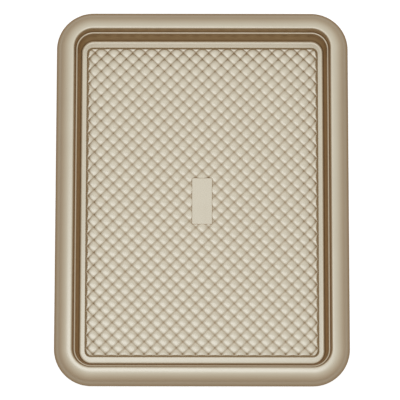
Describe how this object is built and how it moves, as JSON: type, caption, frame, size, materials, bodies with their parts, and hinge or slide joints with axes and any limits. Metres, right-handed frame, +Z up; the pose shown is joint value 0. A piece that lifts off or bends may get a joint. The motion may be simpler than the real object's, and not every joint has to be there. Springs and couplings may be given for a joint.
{
  "type": "cookie sheet",
  "caption": "Rectangular rimmed baking sheet with rounded corners, a crowned rolled rim, a stepped wall and a floor embossed with diamonds round a bare panel.",
  "frame": {"origin": "middle of the underside, on the surface that the pan rests on", "axes": "+Z up, +Y along the long side, +X along the short side"},
  "size_m": [0.27, 0.348, 0.03],
  "materials": {
    "coated_steel": "champagne-gold non-stick coating with a satin metallic sheen",
    "wire_steel": "plain drawn steel wire, hidden inside the rolled edge"
  },
  "bodies": {
    "root": {"pan_shell": "coated_steel", "rim_wire": "wire_steel"}
  },
  "joints": []
}
